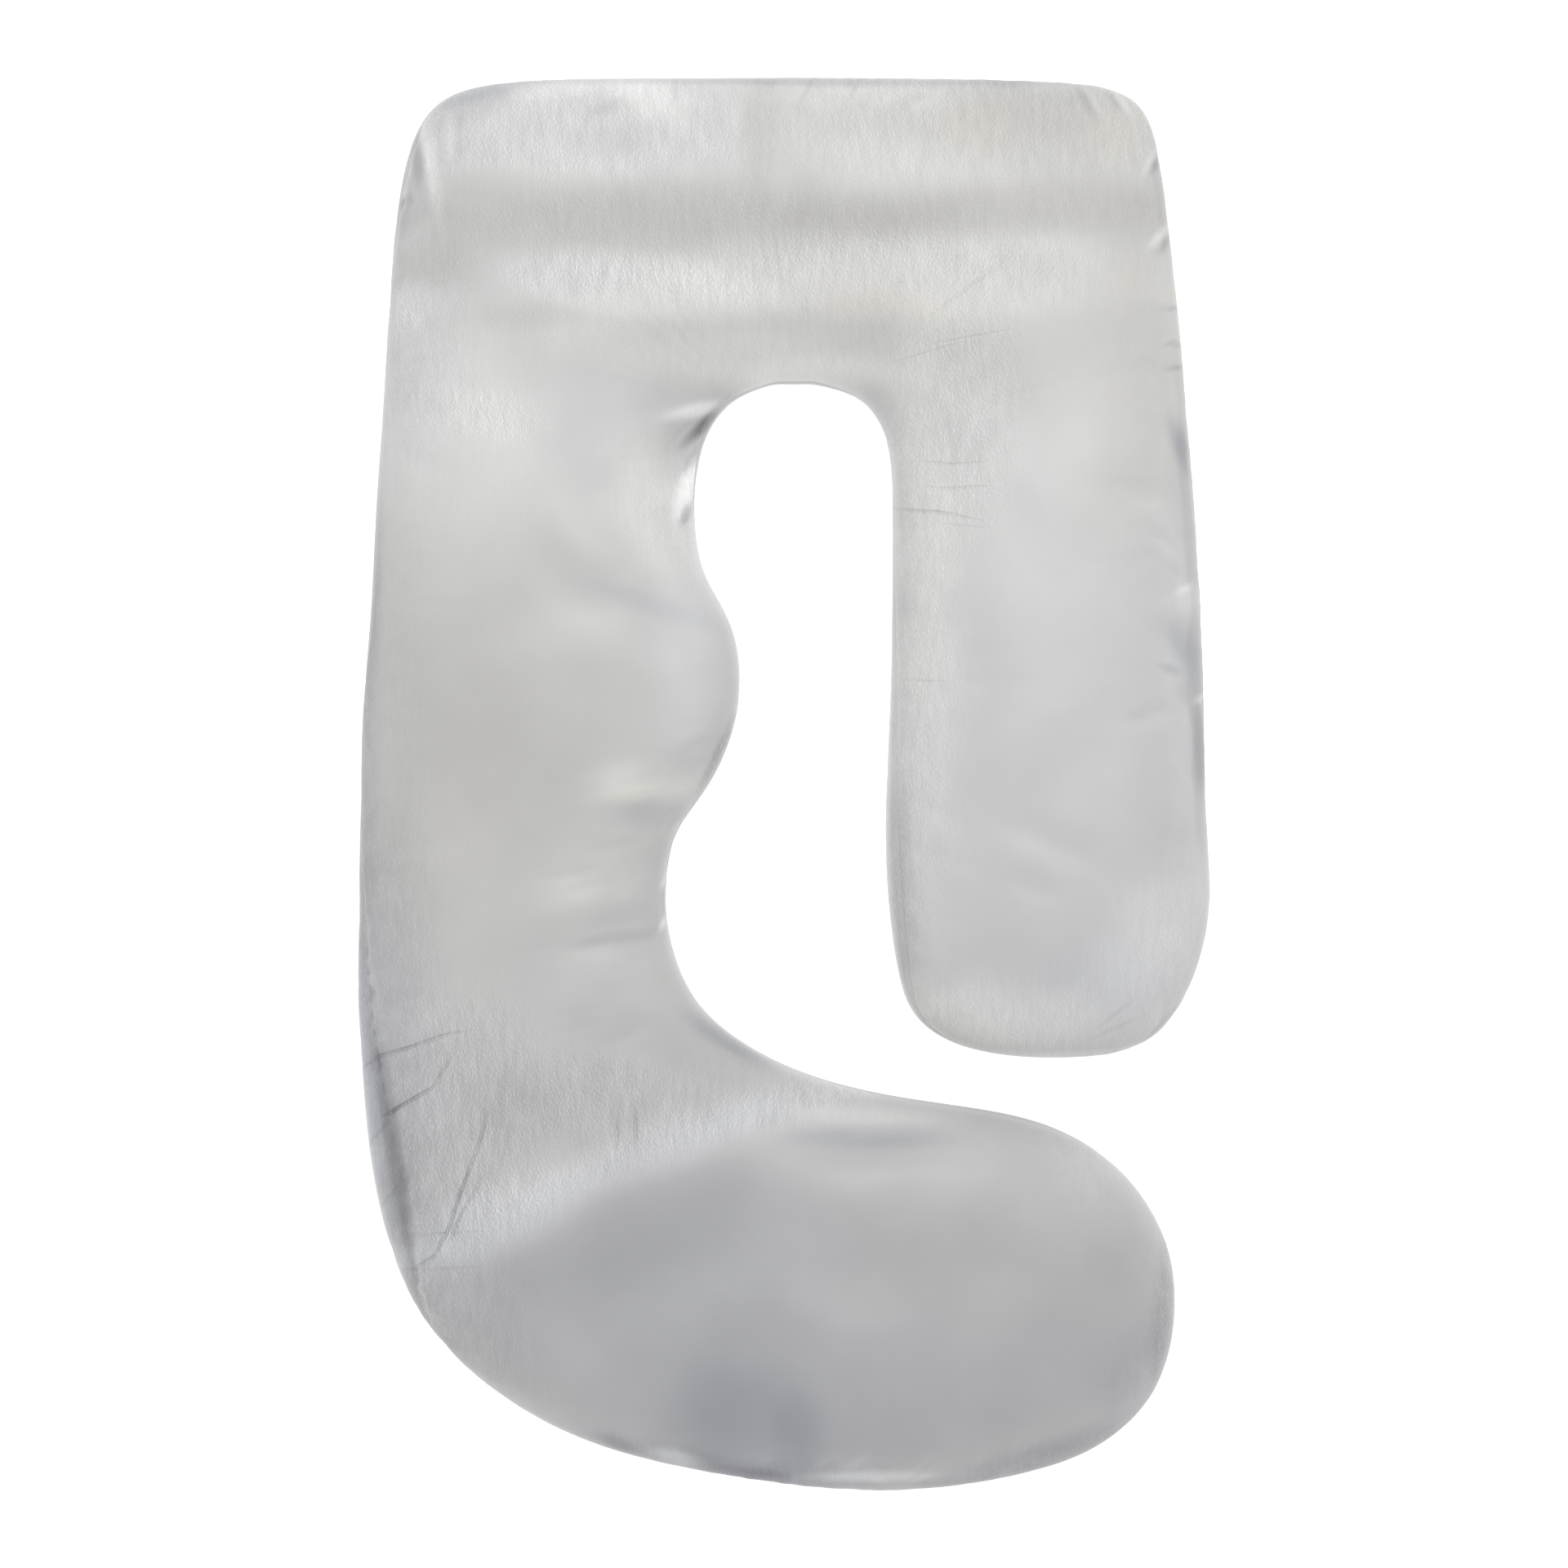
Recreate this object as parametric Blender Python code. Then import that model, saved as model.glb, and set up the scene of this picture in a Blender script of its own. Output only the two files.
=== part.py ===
# J-shaped pregnancy pillow, lying on its back.
#
# Two panels of short-pile velvet, a face and a back cut to the same outline, are sewn together
# all round and stuffed with loose fibre. The pillow is therefore one filled solid. Its sections
# fan round from the end of the straight arm, over the head bar, down the long arm and along the
# foot roll. Lengths are in millimetres in the tables, from the middle of the pillow's outline,
# and X is to the right, Y towards the head bar and Z up.

import bpy
import numpy as np

METRES = 0.001

# Driving sizes.
LENGTH = 1300.0
WIDTH = 784.0
CROWN = 152.0  # height of a well filled arm
EDGE = 64.0  # height of the widest place of the sides
SINK = 14.0  # how far the filling would bulge below the floor if nothing held it up
FLOOR_BEND = 5.0  # height above and below the floor over which the back bends up from it
SEAM_DEPTH = 5.0  # how far the sewn seam draws the sides in
SEAM_SPREAD = 6.5  # degrees of the section on either side of the seam that it draws in
TOP_ROUND = 0.56  # below 1, the face is flatter in the middle and rounder at the sides
UNDER_ROUND = 0.66  # the same for the back

# How fine the mesh is.
RING_STEP = 25.0  # distance between sections along the longer side
FACE_STEPS = 26  # steps across the face of a section
BACK_STEPS = 16  # steps across its back
SEAM_BUNCHING = 0.5  # share by which those steps are shorter beside the seam

VELVET_COLOUR = (0.62, 0.62, 0.63, 1.0)
VELVET_ROUGHNESS = 0.75

# One row for each section. The inner end is on the side that the body lies on. filling is the height
# of the section as a share of a well filled arm's, and each roll is how many degrees the seam has
# turned up on to the face at that end.
SECTIONS = np.rec.fromrecords(
    [
        # The straight arm, from its end up.
        (255, -253, 255, -253, 0.00, 4, 4),
        (199, -250, 306, -248, 0.29, 6, 4),
        (150, -236, 345, -229, 0.55, 10, 3),
        (118, -209, 369, -196, 0.77, 15, 2),
        (104, -166, 385, -154, 0.91, 19, 1),
        (96, -102, 392, -100, 0.97, 21, 0),
        (94, -23, 389, -30, 0.99, 19, 1),
        (98, 75, 387, 71, 1.00, 13, 4),
        (100, 180, 383, 180, 0.98, 6, 3),
        # The corner above it, fanning round the arch.
        (100, 266, 376, 277, 0.96, 2, 5),
        (95, 314, 368, 375, 0.95, 0, 2),
        (80, 344, 359, 469, 0.95, -2, 0),
        (60, 359, 348, 561, 0.94, 0, 3),
        (41, 365, 323, 627, 0.94, 2, 5),
        # The head bar.
        (25, 368, 248, 645, 0.95, 3, 4),
        (9, 368, 135, 648, 0.96, 3, 1),
        (-7, 368, 8, 649, 0.97, 2, -1),
        (-23, 364, -120, 648, 0.97, 1, 1),
        (-41, 356, -240, 646, 0.96, 3, 4),
        # The other corner.
        (-56, 344, -317, 626, 0.95, 5, 7),
        (-68, 327, -348, 568, 0.95, 6, 8),
        (-77, 304, -360, 488, 0.96, 5, 5),
        (-82, 274, -366, 401, 0.98, 3, 3),
        # The long arm, with the bump that holds the waist and the hollow below it.
        (-82, 240, -371, 323, 1.00, 1, 4),
        (-74, 196, -376, 244, 1.01, -2, 6),
        (-54, 157, -380, 165, 1.02, -3, 6),
        (-42, 116, -385, 105, 1.03, -2, 4),
        (-44, 63, -389, 45, 1.02, 1, 3),
        (-65, 7, -390, -19, 1.00, 4, 4),
        (-93, -35, -391, -75, 0.98, 4, 7),
        (-107, -75, -391, -128, 0.96, 2, 12),
        (-107, -132, -392, -188, 0.95, 1, 18),
        (-86, -192, -388, -263, 0.95, 0, 25),
        # The bend into the foot roll, which is the fullest part.
        (-45, -234, -380, -344, 0.96, 0, 29),
        (11, -264, -361, -428, 0.99, 1, 28),
        (79, -284, -327, -498, 1.05, 2, 21),
        (150, -296, -270, -555, 1.09, 3, 12),
        (218, -308, -192, -600, 1.10, 3, 5),
        (272, -329, -98, -628, 1.09, 1, 2),
        (312, -359, 4, -645, 1.06, -1, 3),
        (339, -395, 105, -650, 0.98, 0, 4),
        (355, -434, 199, -639, 0.83, 1, 3),
        (360, -474, 278, -615, 0.60, 2, 2),
        (357, -511, 327, -578, 0.32, 2, 2),
        (348, -544, 348, -544, 0.00, 2, 2),
    ],
    names="inner_x, inner_y, outer_x, outer_y, filling, inner_roll, outer_roll",
)

# One row for each soft ridge or trough of the face: its middle, the way it runs in degrees from X,
# its length and width, and how far it stands up or sinks.
FOLDS = np.rec.fromrecords(
    [
        # Along the head bar.
        (0, 486, 2, 700, 90, -8.0),
        (30, 420, 2, 560, 80, 4.0),
        (-60, 590, 4, 260, 70, 3.0),
        # Running in from the arch's left side.
        (-95, 338, 17, 110, 34, 4.0),
        (-108, 298, 22, 100, 36, -5.0),
        (-120, 262, 12, 90, 36, 3.0),
        # Across the long arm.
        (-115, 166, -18, 150, 40, -4.0),
        (-150, 2, 5, 130, 34, 3.5),
        (-132, -24, 6, 130, 34, -4.0),
        (-190, -106, 10, 160, 40, 3.5),
        (-160, -126, 11, 150, 34, -4.0),
        (-150, -168, 8, 110, 34, 3.0),
        # The bend and the foot roll.
        (-120, -246, -8, 260, 90, -5.0),
        (-171, -376, 30, 330, 110, 4.5),
        (-134, -441, 30, 300, 100, -3.5),
        (92, -326, -2, 200, 46, -4.0),
        (-20, -586, -40, 150, 90, -5.5),
        (150, -560, 10, 220, 80, 3.0),
        (215, -430, 35, 200, 90, -3.0),
        # The straight arm.
        (232, -74, -12, 120, 70, -3.0),
        (356, 312, -15, 70, 56, -4.0),
        (366, 135, -15, 80, 56, -4.5),
    ],
    names="x, y, heading, length, width, rise",
)


def smooth_slopes(points):
    """Slopes at the points of a closed curve, chosen so that its bend is continuous too."""
    ahead, behind = np.roll(points, -1, axis=0), np.roll(points, 1, axis=0)
    identity = np.eye(len(points))
    system = 4 * identity + np.roll(identity, 1, axis=0) + np.roll(identity, -1, axis=0)
    return np.linalg.solve(system, 3 * (ahead - behind))


def along_curve(points, slopes, places):
    """The closed curve at the given places, which are counted in points along it."""
    start = np.floor(places).astype(int)
    t = (places - start)[:, None]
    here, there = start % len(points), (start + 1) % len(points)
    return (
        (2 * t**3 - 3 * t**2 + 1) * points[here]
        + (t**3 - 2 * t**2 + t) * slopes[here]
        + (3 * t**2 - 2 * t**3) * points[there]
        + (t**3 - t**2) * slopes[there]
    )


def outline():
    """The seam as one closed curve: up the inner ends of the sections and back down the outer ones.

    Each point is (x, y, filling, roll). filling changes sign on the outer side, so that it passes
    smoothly through nothing at the two tips.
    """
    s = SECTIONS
    inner = np.stack([s.inner_x, s.inner_y, s.filling, s.inner_roll], axis=1).astype(float)
    outer = np.stack([s.outer_x, s.outer_y, -s.filling, s.outer_roll], axis=1).astype(float)
    return np.concatenate([inner, outer[-2:0:-1]])


def section_places(points, slopes):
    """Places of the sections, evenly spaced along whichever side is longer there."""
    fine = np.linspace(0, len(SECTIONS) - 1, 40 * (len(SECTIONS) - 1) + 1)
    sides = [along_curve(points, slopes, places)[:, :2] for places in (fine, -fine)]
    steps = [np.linalg.norm(np.diff(side, axis=0), axis=1) for side in sides]
    travelled = np.concatenate([[0], np.cumsum(np.maximum(*steps))])
    count = round(travelled[-1] / RING_STEP)
    even = np.linspace(0, travelled[-1], count + 1)[1:-1]
    return np.interp(even, travelled, fine)


def folded(x, y):
    """How far the folds raise or sink the face at each point."""
    rise = np.zeros_like(x)
    for fold in FOLDS:
        turn = np.radians(fold.heading)
        away_x, away_y = x - fold.x, y - fold.y
        along = away_x * np.cos(turn) + away_y * np.sin(turn)
        across = away_y * np.cos(turn) - away_x * np.sin(turn)
        rise += fold.rise * np.exp(-((2 * along / fold.length) ** 2) - (2 * across / fold.width) ** 2)
    return rise


def bunched_steps(count):
    """Shares from 0 up to 1, which is left out, closer together near both ends."""
    even = np.linspace(0, 1, count, endpoint=False)
    return even - SEAM_BUNCHING * np.sin(2 * np.pi * even) / (2 * np.pi)


def section_angles(inner_roll, outer_roll):
    """Angles round each section: from the inner seam over the face to the outer one, and back below."""
    start, turn = np.radians(inner_roll)[:, None], np.pi - np.radians(outer_roll)[:, None]
    face = start + (turn - start) * bunched_steps(FACE_STEPS)
    back = turn + (2 * np.pi + start - turn) * bunched_steps(BACK_STEPS)
    return np.concatenate([face, back], axis=1)


def seam_pull(angles, inner_roll, outer_roll):
    """How far each point is drawn in by the nearer seam, at most SEAM_DEPTH."""
    seams = [np.radians(inner_roll), np.pi - np.radians(outer_roll), 2 * np.pi + np.radians(inner_roll)]
    away = np.min([np.abs(angles - seam[:, None]) for seam in seams], axis=0)
    return SEAM_DEPTH * np.exp(-((np.degrees(away) / SEAM_SPREAD) ** 2))


def rested(z):
    """Heights after the floor has pressed flat what was below it, with a soft bend up from it."""
    bend = (np.clip(z, -FLOOR_BEND, FLOOR_BEND) + FLOOR_BEND) ** 2 / (4 * FLOOR_BEND)
    return np.where(z > FLOOR_BEND, z, bend)


def section_rings(inner, outer):
    """Rings of points, one for each section, as an array of (section, point, x y z).

    A section is a flattened oval: its width is the chord from the inner to the outer end, the face
    rises from the widest place to the crown, and the back sinks from it to the floor.
    """
    filling, inner_roll, outer_roll = inner[:, 2:3], inner[:, 3], outer[:, 3]
    angles = section_angles(inner_roll, outer_roll)
    middle, reach = (inner[:, :2] + outer[:, :2]) / 2, (inner[:, :2] - outer[:, :2]) / 2
    half_width = np.linalg.norm(reach, axis=1)[:, None]
    drawn_in = 1 - seam_pull(angles, inner_roll, outer_roll) * np.sqrt(filling) / half_width
    x = middle[:, 0:1] + reach[:, 0:1] * np.cos(angles) * drawn_in
    y = middle[:, 1:2] + reach[:, 1:2] * np.cos(angles) * drawn_in
    height = np.abs(np.sin(angles))
    face = (CROWN - EDGE) * filling * height**TOP_ROUND * drawn_in
    face += folded(x, y) * np.sqrt(height) * np.minimum(filling, 1)
    back = -(EDGE + SINK) * filling * height**UNDER_ROUND * drawn_in
    z = rested(EDGE + np.where(np.sin(angles) > 0, face, back))
    return np.stack([x, y, z], axis=2)


def loft(rings, first, last):
    """Vertices and faces of a closed skin over the rings, drawn together at a point at each end."""
    count, round_it = rings.shape[:2]
    vertices = np.concatenate([rings.reshape(-1, 3), [first, last]])
    index = np.arange(count * round_it).reshape(count, round_it)
    beside = np.roll(index, -1, axis=1)
    sides = np.stack([index[:-1], beside[:-1], beside[1:], index[1:]], axis=2).reshape(-1, 4)
    start, end = len(vertices) - 2, len(vertices) - 1
    caps = [(start, b, a) for a, b in zip(index[0], beside[0])]
    caps += [(end, a, b) for a, b in zip(index[-1], beside[-1])]
    return vertices, sides.tolist() + caps


def fitted(vertices):
    """The vertices with their box WIDTH by LENGTH and its middle over the origin."""
    low, high = vertices.min(axis=0), vertices.max(axis=0)
    shift = [(low[0] + high[0]) / 2, (low[1] + high[1]) / 2, 0]
    return (vertices - shift) * [WIDTH / (high[0] - low[0]), LENGTH / (high[1] - low[1]), 1]


def velvet():
    material = bpy.data.materials.new("velvet")
    material.use_nodes = True
    shader = material.node_tree.nodes["Principled BSDF"]
    shader.inputs["Base Color"].default_value = VELVET_COLOUR
    shader.inputs["Roughness"].default_value = VELVET_ROUGHNESS
    shader.inputs["Metallic"].default_value = 0.0
    return material


def pillow():
    points = outline()
    slopes = smooth_slopes(points)
    places = section_places(points, slopes)
    rings = section_rings(along_curve(points, slopes, places), along_curve(points, slopes, -places))
    tips = [(*points[row, :2], EDGE) for row in (0, len(SECTIONS) - 1)]
    vertices, faces = loft(rings, *tips)
    mesh = bpy.data.meshes.new("pillow")
    mesh.from_pydata((fitted(vertices) * METRES).tolist(), [], faces)
    mesh.shade_smooth()
    mesh.materials.append(velvet())
    return bpy.data.objects.new("pillow", mesh)


def main():
    for old in list(bpy.data.objects):
        bpy.data.objects.remove(old)
    parts = bpy.data.collections.new("j_shaped_pregnancy_pillow")
    bpy.context.scene.collection.children.link(parts)
    parts.objects.link(pillow())


main()
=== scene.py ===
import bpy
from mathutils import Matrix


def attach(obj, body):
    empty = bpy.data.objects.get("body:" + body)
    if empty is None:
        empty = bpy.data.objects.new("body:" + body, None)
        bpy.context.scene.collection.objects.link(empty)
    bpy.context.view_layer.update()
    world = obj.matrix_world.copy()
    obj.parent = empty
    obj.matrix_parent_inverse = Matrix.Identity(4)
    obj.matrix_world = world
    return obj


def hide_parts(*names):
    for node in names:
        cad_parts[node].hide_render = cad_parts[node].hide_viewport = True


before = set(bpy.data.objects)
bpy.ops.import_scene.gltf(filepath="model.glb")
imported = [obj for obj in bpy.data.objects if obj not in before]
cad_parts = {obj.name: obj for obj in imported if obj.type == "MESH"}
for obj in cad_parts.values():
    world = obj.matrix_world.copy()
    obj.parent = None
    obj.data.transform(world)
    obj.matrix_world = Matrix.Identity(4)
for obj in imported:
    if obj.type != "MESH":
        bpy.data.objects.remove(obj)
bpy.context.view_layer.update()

import math

import bpy
import numpy as np
from mathutils import Vector

print("frame loaded")

# The pillow lies on its back, face up. Tables are in millimetres from the middle of its outline:
# x to the right, y towards the head bar, z up from the floor.
mm = 0.001

pillowSizes = {
    "length": 1300.0,
    "width": 784.0,
    "crown": 152.0,  # height of a well filled arm
    "edge": 64.0,  # height of the widest place of the sides
    "sink": 14.0,  # how far the filling would bulge below the floor if nothing held it up
    "floorBend": 5.0,  # height over which the back bends up from the floor
    "topRound": 0.56,  # below 1, the face is flatter in the middle and rounder at the sides
    "underRound": 0.66,
    "seamDepth": 5.0,  # how far the sewn seam draws the sides in
    "seamWidth": 4.5,  # half the width of the valley that it makes
    "seamHidden": 0.6,  # share of its depth where it isn't turned up
    "seamTurned": 14.0,  # degrees that the seam is turned up on to the face where the valley is twice as wide
    "seamShown": 20.0,  # degrees of turn from which the seam's valley gets painted shade
    "seamShownOver": 5.0,  # degrees over which that comes in
    "seamShade": -0.5,  # painted shade in that valley
    "rings": 900,  # sections along the pillow
    "faceSteps": 80,  # steps across the face of each section
    "backSteps": 30,  # steps across its back
    "lumps": 260,  # soft unevenness of the filling
    "lumpRise": 1.1,
    "puckers": 700,  # small pleats that the seam's thread draws up
    "puckerRise": 1.6,
    "calm": 0.22,  # how much of them, and of the cloth's own wrinkles, is left away from the zones
    "keenEdge": 0.55,  # wrinkles fade where the cloth is steeper than this, so the outline stays clean
    "steepShare": 0.12,  # and this share of them is left on the steepest cloth
    "foldEdge": 0.625,  # folds fade from this height of the face, as a share of its crown, to the seam
    "tipFilling": 1 / 3,  # lumps, folds and wrinkles fade where a section is filled less than this
    "streakWidth": 60.0,  # patches of the pile narrower than this are on the face alone,
    "streakEdge": 0.15,  # and fade where the cloth is steeper than this
    "outerRimPaintedShade": -0.8,  # painted shade beside the outer seam, beside the inner one, and how far from it
    "innerRimPaintedShade": -0.15,
    "rimReach": 34.0,
    "wander": 6.0,  # how far the edges of those patches wander, times the lumps
    "seed": 7,
}

coverCloth = {
    "rings": 440,
    "faceSteps": 60,
    "backSteps": 20,
    "frames": 22,
    "pressure": 4.0,
    "spare": -0.028,  # shrink of the cloth: below nothing, it has been cut larger than its seam
    "most": 8.0,  # the furthest that a point may move
    "heldBeside": 1.0,  # the cloth is held this near the seam, and below this height
    "heldBelow": 6.0,
    "substeps": 5,
    "pointMass": 0.2,
    "stretching": 12.0,
    "shearing": 4.0,
    "bending": 0.02,
    "airDrag": 2.0,
}

# One row for each section, from the straight arm's end, up, over the head bar, down the long arm
# and along the foot roll. The inner end is on the side that the body lies on. filling is the
# height as a share of a well filled arm's. Each roll is how many degrees the seam has turned up
# on to the face at that end.
sections = np.rec.fromrecords(
    [
        (255, -253, 255, -253, 0.00, 4, 4),
        (199, -250, 306, -248, 0.29, 6, 4),
        (150, -236, 345, -229, 0.55, 10, 3),
        (118, -209, 369, -196, 0.77, 15, 2),
        (104, -166, 385, -154, 0.91, 19, 1),
        (96, -102, 392, -100, 0.97, 21, 0),
        (94, -23, 389, -30, 0.99, 19, 1),
        (98, 75, 387, 71, 1.00, 13, 4),
        (100, 180, 383, 180, 0.98, 6, 3),
        (100, 266, 376, 277, 0.96, 2, 5),
        (95, 314, 368, 375, 0.95, 0, 2),
        (80, 344, 359, 469, 0.95, -2, 0),
        (60, 359, 348, 561, 0.94, 0, 3),
        (41, 365, 323, 627, 0.94, 2, 5),
        (25, 368, 248, 645, 0.95, 3, 4),
        (9, 368, 135, 648, 0.96, 3, 1),
        (-7, 368, 8, 649, 0.97, 2, -1),
        (-23, 364, -120, 648, 0.97, 1, 1),
        (-41, 356, -240, 646, 0.96, 3, 4),
        (-56, 344, -317, 626, 0.95, 5, 7),
        (-68, 327, -348, 568, 0.95, 6, 8),
        (-77, 304, -360, 488, 0.96, 5, 5),
        (-82, 274, -366, 401, 0.98, 3, 3),
        (-82, 240, -371, 323, 1.00, 1, 4),
        (-74, 196, -376, 244, 1.01, -2, 6),
        (-54, 157, -380, 165, 1.02, -3, 6),
        (-42, 116, -385, 105, 1.03, -2, 4),
        (-44, 63, -389, 45, 1.02, 1, 3),
        (-65, 7, -390, -19, 1.00, 4, 4),
        (-93, -35, -391, -75, 0.98, 4, 7),
        (-107, -75, -391, -128, 0.96, 2, 12),
        (-107, -132, -392, -188, 0.95, 1, 18),
        (-86, -192, -388, -263, 0.95, 0, 25),
        (-45, -234, -380, -344, 0.96, 0, 29),
        (11, -264, -361, -428, 0.99, 1, 23),
        (79, -284, -327, -498, 1.05, 2, 7),
        (150, -296, -270, -555, 1.09, 3, 0),
        (218, -308, -192, -600, 1.10, 3, 0),
        (272, -329, -98, -628, 1.09, 1, 2),
        (312, -359, 4, -645, 1.06, -1, 3),
        (339, -395, 105, -650, 0.98, 0, 4),
        (355, -434, 199, -639, 0.83, 1, 3),
        (360, -474, 278, -615, 0.60, 2, 2),
        (357, -511, 327, -578, 0.32, 2, 2),
        (348, -544, 348, -544, 0.00, 2, 2),
    ],
    names="innerX, innerY, outerX, outerY, filling, innerRoll, outerRoll",
)

# One row for each soft ridge or trough of the face: the two ends of its middle line, its width, and
# how far it stands up or sinks. flare is how much wider it gets towards its second end, bow how far
# its middle is off the straight line, and crisp is 2 for a soft fold and less for a sharp one.
foldColumns = "fromX, fromY, toX, toY, width, rise, flare, bow, crisp"
folds = [
    # Along the head bar.
    (-370, 484, 370, 500, 80, -7.0, 0.0, 0, 2.0),
    (-240, 412, 290, 424, 80, 4.0, 0.0, 0, 2.0),
    (-190, 582, 70, 598, 70, 3.0, 0.0, 0, 2.0),
    # The corners.
    (-330, 606, -314, 522, 13, 4.0, 0.0, 4, 1.8),
    (-341, 600, -332, 548, 14, -3.5, 0.0, 3, 1.8),
    (-306, 608, -303, 565, 9, 2.0, 0.0, 2, 1.8),
    (-358, 526, -342, 536, 12, -3.5, 0.0, 0, 1.6),
    (-150, 606, -118, 640, 34, 4.5, 0.2, 0, 1.8),
    (270, 634, 286, 604, 11, -3.2, 0.0, 0, 1.6),
    (299, 632, 308, 612, 11, -3.2, 0.0, 0, 1.6),
    (338, 560, 350, 584, 11, -3.6, 0.0, 0, 1.6),
    (335, 490, 356, 510, 14, 3.4, 0.0, 0, 1.7),
    # Running in from the arch's left side.
    (-116, 328, -50, 347, 17, 5.5, -0.2, 2, 1.7),
    (-102, 306, -60, 336, 16, -9.0, 0.0, 2, 1.6),
    (-112, 254, -80, 288, 24, 5.0, 0.2, 0, 1.8),
    (-104, 224, -76, 254, 18, -7.0, 0.0, 0, 1.7),
    # Across the long arm.
    (-215, 238, -60, 184, 60, 4.5, 0.0, -6, 2.0),
    (-200, 178, -60, 132, 46, -3.0, 0.0, -6, 2.0),
    (-184, -12, -104, -3, 34, 5.0, 0.2, 4, 1.9),
    (-150, -36, -92, -26, 34, -3.6, 0.2, 4, 1.9),
    (-245, -132, -114, -105, 40, 3.6, -0.3, 5, 1.9),
    (-190, -146, -108, -126, 28, -3.2, -0.2, 5, 1.8),
    (-160, -170, -100, -176, 26, 2.4, -0.2, 3, 1.8),
    # The bend and the foot roll.
    (-390, -264, -300, -227, 11, -1.6, 0.0, 3, 1.4),
    (-364, -304, -304, -252, 11, -1.9, 0.0, -4, 1.4),
    (-270, -300, -293, -368, 11, -1.6, 0.0, 0, 1.4),
    (-290, -360, -322, -434, 11, -2.2, 0.0, 2, 1.4),
    (-250, -232, 0, -262, 90, -5.0, 0.0, 0, 2.0),
    (-310, -430, -20, -322, 96, 6.0, 0.0, -10, 1.8),
    (-260, -508, 0, -376, 100, -4.0, 0.0, 0, 2.0),
    (10, -306, 150, -304, 30, 3.5, 0.0, 3, 1.9),
    (20, -328, 160, -326, 36, -4.0, 0.0, 3, 1.9),
    (-84, -634, 30, -540, 100, -4.5, 0.0, 0, 2.0),
    (40, -575, 260, -545, 80, 3.0, 0.0, 0, 2.0),
    # The straight arm.
    (203, -34, 274, -71, 30, -2.4, 0.0, 0, 1.9),
    (200, -81, 245, -104, 26, -1.8, 0.0, 0, 1.9),
    (350, 322, 380, 282, 34, -5.0, 0.2, 0, 1.8),
    (348, 162, 388, 172, 30, 5.0, 0.2, 0, 1.9),
    (346, 142, 394, 100, 42, -6.0, 0.3, 0, 1.8),
    (362, 86, 395, 62, 26, -5.0, 0.2, 0, 1.8),
]

# One row for each piece of a fine crease, too thin for the mesh: its two ends, its width and its
# depth. Each piece fades out at its neighbours' middles, so that a chain of them runs on evenly.
creases = [
    (-387, -262, -367, -248, 5, 1.1),
    (-367, -248, -341, -240, 5, 1.6),
    (-341, -240, -310, -229, 4.5, 1.3),
    (-310, -229, -287, -225, 4.5, 0.8),
    (-362, -302, -348, -293, 5, 1.8),
    (-348, -293, -321, -277, 4.5, 2.0),
    (-321, -277, -306, -254, 4.5, 1.3),
    (-306, -254, -299, -232, 4.5, 0.7),
    (-271, -304, -276, -323, 4.5, 1.1),
    (-276, -323, -292, -366, 4.5, 1.6),
    (-292, -366, -306, -406, 4.5, 2.1),
    (-306, -406, -319, -431, 5, 2.1),
    (-319, -431, -337, -443, 5, 1.4),
    (-279, -366, -294, -393, 4.5, 1.5),
    (-294, -393, -304, -416, 4.5, 1.7),
    (-335, -412, -287, -408, 4.5, 0.9),
    (-335, -444, -287, -440, 4.5, 0.9),
    (-379, -330, -362, -310, 6, 0.9),
    (-372, -392, -354, -370, 6, 0.8),
    (-135, -300, -135, -331, 4.5, 1.5),
    (-151, -306, -152, -333, 4, 1.1),
    (-252, -322, -258, -352, 4.5, 0.8),
    (126, 294, 152, 291, 4, 0.7),
    (152, 291, 178, 292, 4, 0.6),
    (124, 271, 150, 269, 4, 0.5),
    (150, 269, 177, 270, 5, 0.9),
    (100, 253, 122, 249, 4, 0.8),
    (122, 249, 144, 247, 5, 1.1),
    (144, 247, 172, 241, 4, 0.8),
    (150, 236, 176, 233, 4, 0.5),
    (116, 94, 143, 93, 4, 0.7),
    (104, 385, 150, 398, 4, 0.5),
    (146, 402, 192, 410, 4, 0.5),
    (146, 435, 200, 477, 5, 0.6),
    (290, -221, 314, -201, 5, 0.9),
    (281, -234, 318, -216, 5, 0.9),
    (-99, 642, -99, 616, 5, 1.1),
    (27, 648, 15, 620, 5, 1.0),
    (71, 649, 61, 626, 5, 1.0),
]

# Where the cloth is gathered most: a middle, a radius and a strength.
gatheredZones = [
    (-80, 310, 60, 1.0),  # left of the arch
    (-90, -10, 50, 0.8),  # above the hollow of the long arm
    (-110, -110, 70, 0.5),
    (385, 200, 150, 0.8),  # outer side of the straight arm
    (390, 0, 110, 0.6),
    (360, 560, 90, 0.5),  # the corners
    (-340, 560, 90, 0.6),
    (80, 648, 110, 0.7),  # top of the head bar
    (-385, -200, 90, 0.6),  # outer side of the bend
    (-350, -420, 110, 0.6),
    (20, -640, 130, 0.6),  # underside of the foot roll
    (300, -230, 80, 0.5),  # end of the straight arm
]
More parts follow.
